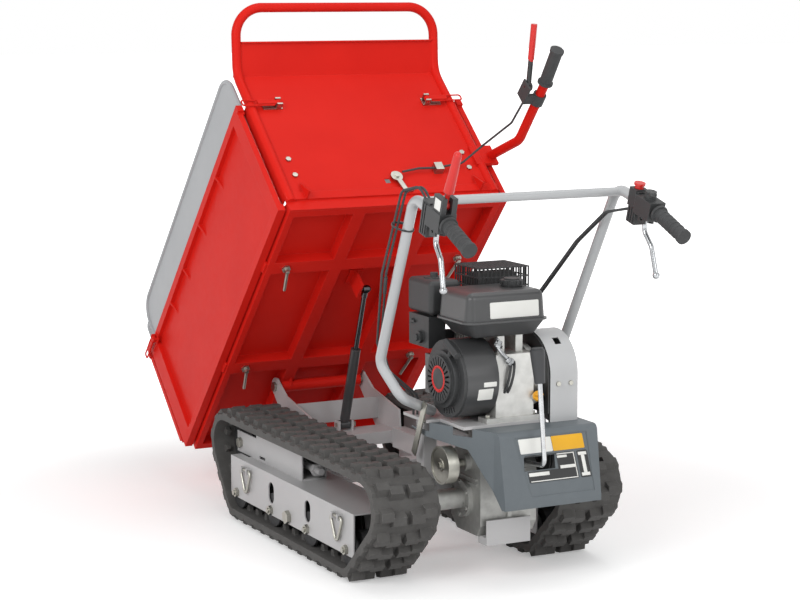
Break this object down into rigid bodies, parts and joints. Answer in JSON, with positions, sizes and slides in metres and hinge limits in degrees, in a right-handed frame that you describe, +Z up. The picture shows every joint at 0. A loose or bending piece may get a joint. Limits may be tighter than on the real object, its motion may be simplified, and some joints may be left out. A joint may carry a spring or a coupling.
{
  "type": "tracked power carrier",
  "caption": "Walk-behind tracked carrier with a petrol engine, handlebar controls and a tipping bed with sliding sides and extensions.",
  "frame": {"origin": "on the ground, under the middle of the whole machine's box", "axes": "+X the machine's right, +Y forward towards the bed, +Z up"},
  "size_m": [0.7253, 2.0332, 1.4293],
  "materials": {
    "red_paint": "semi-gloss red paint",
    "red_plastic": "red moulded plastic",
    "panel_grey": "satin grey paint",
    "chassis_grey": "satin light grey paint",
    "track_rubber": "dark grey rubber",
    "wheel_steel": "dark painted casting",
    "gear_casting": "bare casting",
    "black_paint": "semi-gloss black paint",
    "black_plastic": "black plastic",
    "console_plastic": "dark grey plastic",
    "cover_grey": "light grey paint",
    "tube_grey": "silver grey paint",
    "zinc": "zinc plate",
    "lever_plate": "bright plate",
    "oil_yellow": "yellow plastic"
  },
  "bodies": {
    "chassis": {"chassis_frame": "chassis_grey", "track_frames": "chassis_grey", "left_track": "track_rubber", "right_track": "track_rubber", "gearbox": "gear_casting", "drive_belt": "track_rubber", "belt_cover": "cover_grey", "console_cover": "console_plastic", "crankcase": "gear_casting", "blower_housing": "black_paint", "recoil_cover": "black_plastic", "fuel_tank": "black_paint", "air_filter": "black_plastic", "carburettor": "black_plastic", "muffler": "black_paint", "handlebar": "tube_grey", "handlebar_grips": "black_plastic", "control_housings": "black_plastic", "control_cables": "black_plastic", "fasteners": "zinc"},
    "bed": {"bed_base": "red_paint", "headboard": "red_paint", "bed_grip": "black_plastic", "release_cable": "black_plastic", "bed_hardware": "zinc"},
    "left_panel": {"left_side": "red_paint", "left_extension": "panel_grey"},
    "right_panel": {"right_side": "red_paint", "right_extension": "panel_grey"},
    "gate": {"front_gate": "red_paint", "front_extension": "panel_grey"},
    "release_lever": {"release_lever": "red_plastic"},
    "clutch_lever": {"clutch_lever": "red_plastic"},
    "stop_button": {"stop_button": "red_plastic"},
    "rear_left_toggle": {"rear_left_toggle": "red_plastic"},
    "rear_right_toggle": {"rear_right_toggle": "red_plastic"},
    "front_left_toggle": {"front_left_toggle": "red_plastic"},
    "front_right_toggle": {"front_right_toggle": "red_plastic"},
    "left_sprocket": {"left_sprocket": "wheel_steel"},
    "right_sprocket": {"right_sprocket": "wheel_steel"},
    "idlers": {"idlers": "wheel_steel"},
    "rollers_rear": {"rollers_rear": "wheel_steel"},
    "rollers_mid_rear": {"rollers_mid_rear": "wheel_steel"},
    "rollers_mid_front": {"rollers_mid_front": "wheel_steel"},
    "rollers_front": {"rollers_front": "wheel_steel"},
    "gearbox_pulley": {"gearbox_pulley": "wheel_steel"},
    "engine_pulley": {"engine_pulley": "wheel_steel"},
    "brake_drum": {"brake_drum": "gear_casting"},
    "strut_cylinder": {"strut_cylinder": "black_paint"},
    "starter_handle": {"starter_handle": "black_plastic"},
    "fuel_cap": {"fuel_cap": "black_plastic"},
    "throttle_lever": {"throttle_lever": "black_plastic"},
    "shift_lever": {"shift_lever": "tube_grey"},
    "latch_hook": {"latch_hook": "zinc"},
    "left_tie_rings": {"left_tie_rings": "zinc"},
    "right_tie_rings": {"right_tie_rings": "zinc"},
    "strut_rod": {"strut_rod": "zinc"},
    "left_steering_lever": {"left_steering_lever": "lever_plate"},
    "right_steering_lever": {"right_steering_lever": "lever_plate"},
    "dipstick": {"dipstick": "oil_yellow"}
  },
  "joints": [
    {"name": "bed_tip", "type": "hinge", "parent": "chassis", "child": "bed", "pos_m": [0, 0.4056, 0.331], "axis": [1, 0, 0], "range_deg": [0, 48]},
    {"name": "right_panel_slide", "type": "slide", "parent": "bed", "child": "right_panel", "axis": [1, 0, 0], "range_m": [0, 0.2]},
    {"name": "left_panel_slide", "type": "slide", "parent": "bed", "child": "left_panel", "axis": [-1, 0, 0], "range_m": [0, 0.2]},
    {"name": "gate_swing", "type": "hinge", "parent": "bed", "child": "gate", "pos_m": [0, 0.61845, 0.13645], "axis": [-1, 0, 0], "range_deg": [0, 90]},
    {"name": "rear_right_toggle_turn", "type": "hinge", "parent": "bed", "child": "rear_right_toggle", "pos_m": [0.228, 0.17588, 1.16299], "axis": [0, -0.7431, -0.6691], "range_deg": [0, 100]},
    {"name": "rear_left_toggle_turn", "type": "hinge", "parent": "bed", "child": "rear_left_toggle", "pos_m": [-0.228, 0.17588, 1.16299], "axis": [0, 0.7431, 0.6691], "range_deg": [0, 100]},
    {"name": "front_right_toggle_turn", "type": "hinge", "parent": "right_panel", "child": "front_right_toggle", "pos_m": [0.356, 0.82761, 0.43917], "axis": [0, -0.7431, -0.6691], "range_deg": [0, 100]},
    {"name": "front_left_toggle_turn", "type": "hinge", "parent": "left_panel", "child": "front_left_toggle", "pos_m": [-0.356, 0.82761, 0.43917], "axis": [0, 0.7431, 0.6691], "range_deg": [0, 100]},
    {"name": "release_pull", "type": "hinge", "parent": "bed", "child": "release_lever", "pos_m": [0.306, -0.24721, 1.20995], "axis": [1, 0, 0], "range_deg": [0, 18], "stiffness_Nm_per_rad": 4, "springref_deg": -17.19},
    {"name": "latch_turn", "type": "hinge", "parent": "bed", "child": "latch_hook", "pos_m": [0.026, -0.03346, 0.96508], "axis": [0, -0.6691, 0.7431], "range_deg": [0, 27]},
    {"name": "strut_swing", "type": "hinge", "parent": "chassis", "child": "strut_cylinder", "pos_m": [0, 0.2436, 0.237], "axis": [1, 0, 0], "range_deg": [0, 54.78]},
    {"name": "strut_travel", "type": "slide", "parent": "strut_cylinder", "child": "strut_rod", "axis": [0, -0.3227, 0.9465], "range_m": [-0.14665, 0]},
    {"name": "right_sprocket_spin", "type": "hinge", "parent": "chassis", "child": "right_sprocket", "pos_m": [0.264, -0.5714, 0.205], "axis": [1, 0, 0], "continuous": true},
    {"name": "left_sprocket_spin", "type": "hinge", "parent": "chassis", "child": "left_sprocket", "pos_m": [-0.264, -0.5714, 0.205], "axis": [1, 0, 0], "continuous": true},
    {"name": "idlers_spin", "type": "hinge", "parent": "chassis", "child": "idlers", "pos_m": [0, 0.2886, 0.205], "axis": [1, 0, 0], "continuous": true},
    {"name": "rollers_rear_spin", "type": "hinge", "parent": "chassis", "child": "rollers_rear", "pos_m": [0, -0.4714, 0.0795], "axis": [1, 0, 0], "continuous": true},
    {"name": "rollers_mid_rear_spin", "type": "hinge", "parent": "chassis", "child": "rollers_mid_rear", "pos_m": [0, -0.2394, 0.0795], "axis": [1, 0, 0], "continuous": true},
    {"name": "rollers_mid_front_spin", "type": "hinge", "parent": "chassis", "child": "rollers_mid_front", "pos_m": [0, -0.0074, 0.0795], "axis": [1, 0, 0], "continuous": true},
    {"name": "rollers_front_spin", "type": "hinge", "parent": "chassis", "child": "rollers_front", "pos_m": [0, 0.2246, 0.0795], "axis": [1, 0, 0], "continuous": true},
    {"name": "right_rings_swing", "type": "hinge", "parent": "chassis", "child": "right_tie_rings", "pos_m": [0.347, 0.1476, 0.158], "axis": [0, -1, 0], "range_deg": [0, 90]},
    {"name": "left_rings_swing", "type": "hinge", "parent": "chassis", "child": "left_tie_rings", "pos_m": [-0.347, 0.1476, 0.158], "axis": [0, 1, 0], "range_deg": [0, 90]},
    {"name": "brake_drum_spin", "type": "hinge", "parent": "chassis", "child": "brake_drum", "pos_m": [-0.12, -0.5894, 0.298], "axis": [1, 0, 0], "continuous": true},
    {"name": "engine_pulley_spin", "type": "hinge", "parent": "chassis", "child": "engine_pulley", "pos_m": [0.15, -0.5744, 0.512], "axis": [1, 0, 0], "continuous": true},
    {"name": "gearbox_pulley_spin", "type": "hinge", "parent": "chassis", "child": "gearbox_pulley", "pos_m": [0.15, -0.5894, 0.298], "axis": [1, 0, 0], "continuous": true},
    {"name": "shift_turn", "type": "hinge", "parent": "chassis", "child": "shift_lever", "pos_m": [0.044, -0.6714, 0.306], "axis": [0, 0, 1], "range_deg": [-12, 20]},
    {"name": "starter_pull", "type": "slide", "parent": "chassis", "child": "starter_handle", "axis": [0, -0.4893, 0.8721], "range_m": [0, 0.04], "stiffness_N_per_m": 150, "springref_m": -0.02},
    {"name": "fuel_cap_turn", "type": "hinge", "parent": "chassis", "child": "fuel_cap", "pos_m": [0.07, -0.5794, 0.735], "axis": [0, 0, 1], "range_deg": [0, 90]},
    {"name": "dipstick_turn", "type": "hinge", "parent": "chassis", "child": "dipstick", "pos_m": [0.1, -0.6364, 0.45], "axis": [0, -0.866, 0.5], "range_deg": [0, 180]},
    {"name": "right_steer_pull", "type": "hinge", "parent": "chassis", "child": "right_steering_lever", "pos_m": [0.2858, -0.85012, 0.91752], "axis": [-1, 0, 0], "range_deg": [0, 30], "stiffness_Nm_per_rad": 6, "springref_deg": -14.32},
    {"name": "left_steer_pull", "type": "hinge", "parent": "chassis", "child": "left_steering_lever", "pos_m": [-0.2858, -0.85012, 0.91752], "axis": [-1, 0, 0], "range_deg": [0, 30], "stiffness_Nm_per_rad": 6, "springref_deg": -14.32},
    {"name": "clutch_press", "type": "hinge", "parent": "chassis", "child": "clutch_lever", "pos_m": [-0.2858, -0.8876, 0.97874], "axis": [1, 0, 0], "range_deg": [0, 55], "stiffness_Nm_per_rad": 4, "springref_deg": -22.92},
    {"name": "throttle_turn", "type": "hinge", "parent": "chassis", "child": "throttle_lever", "pos_m": [0.2858, -0.87111, 0.97919], "axis": [0, -0.2688, 0.9632], "range_deg": [-15, 40]},
    {"name": "stop_press", "type": "slide", "parent": "chassis", "child": "stop_button", "axis": [0, 0.2688, -0.9632], "range_m": [0, 0.003], "stiffness_N_per_m": 600, "springref_m": -0.002}
  ],
  "couplings": [
    {"joint": "strut_swing", "follows": "bed_tip", "ratio": 1.1414},
    {"joint": "strut_travel", "follows": "bed_tip", "m_per_rad": -0.17505},
    {"joint": "latch_turn", "follows": "release_pull", "ratio": 1.5},
    {"joint": "idlers_spin", "follows": "right_sprocket_spin", "ratio": 1},
    {"joint": "gearbox_pulley_spin", "follows": "engine_pulley_spin", "ratio": 0.68966},
    {"joint": "rollers_rear_spin", "follows": "right_sprocket_spin", "ratio": 1.5032},
    {"joint": "rollers_mid_rear_spin", "follows": "right_sprocket_spin", "ratio": 1.5032},
    {"joint": "rollers_mid_front_spin", "follows": "right_sprocket_spin", "ratio": 1.5032},
    {"joint": "rollers_front_spin", "follows": "right_sprocket_spin", "ratio": 1.5032}
  ]
}
